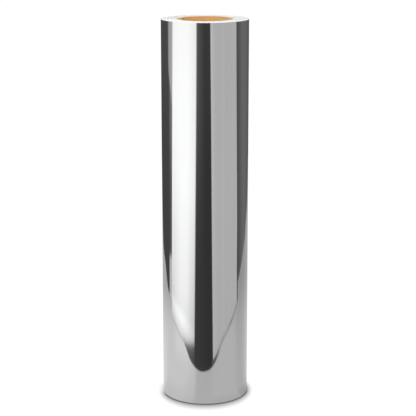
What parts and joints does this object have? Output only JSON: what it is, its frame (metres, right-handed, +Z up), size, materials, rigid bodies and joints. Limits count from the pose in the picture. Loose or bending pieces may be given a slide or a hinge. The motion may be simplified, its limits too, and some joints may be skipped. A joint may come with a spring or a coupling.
{
  "type": "foil roll",
  "caption": "Tall roll of mirror-finish adhesive foil, wound with its release liner on a paperboard core and taped at the tail, standing on end.",
  "frame": {"origin": "on the core's axis, in the end face that the roll stands on", "axes": "+Z up along the core's axis; the outer end of the web is on the +Y side, 62 degrees from +X"},
  "size_m": [0.1373, 0.1375, 0.6096],
  "materials": {
    "kraft_board": "uncoated orange-brown kraft paperboard, strip-wound",
    "double_sided_tape": "translucent tissue tape",
    "wound_edges": "white slit paper edges, finely lined",
    "release_liner": "smooth calendered release paper",
    "mirror_foil": "mirror-bright silver metallised film",
    "clear_tape": "glossy clear film tape"
  },
  "bodies": {
    "root": {"core_ply_01": "kraft_board", "core_ply_02": "kraft_board", "core_ply_03": "kraft_board", "core_ply_04": "kraft_board", "core_ply_05": "kraft_board", "core_ply_06": "kraft_board", "core_ply_07": "kraft_board", "core_ply_08": "kraft_board", "core_ply_09": "kraft_board", "core_ply_10": "kraft_board", "core_ply_11": "kraft_board", "core_ply_12": "kraft_board", "start_tape": "double_sided_tape", "wound_laps": "wound_edges", "outer_lap_liner": "release_liner", "outer_lap_foil": "mirror_foil", "tail_tab_bottom": "clear_tape", "tail_tab_middle": "clear_tape", "tail_tab_top": "clear_tape"}
  },
  "joints": []
}
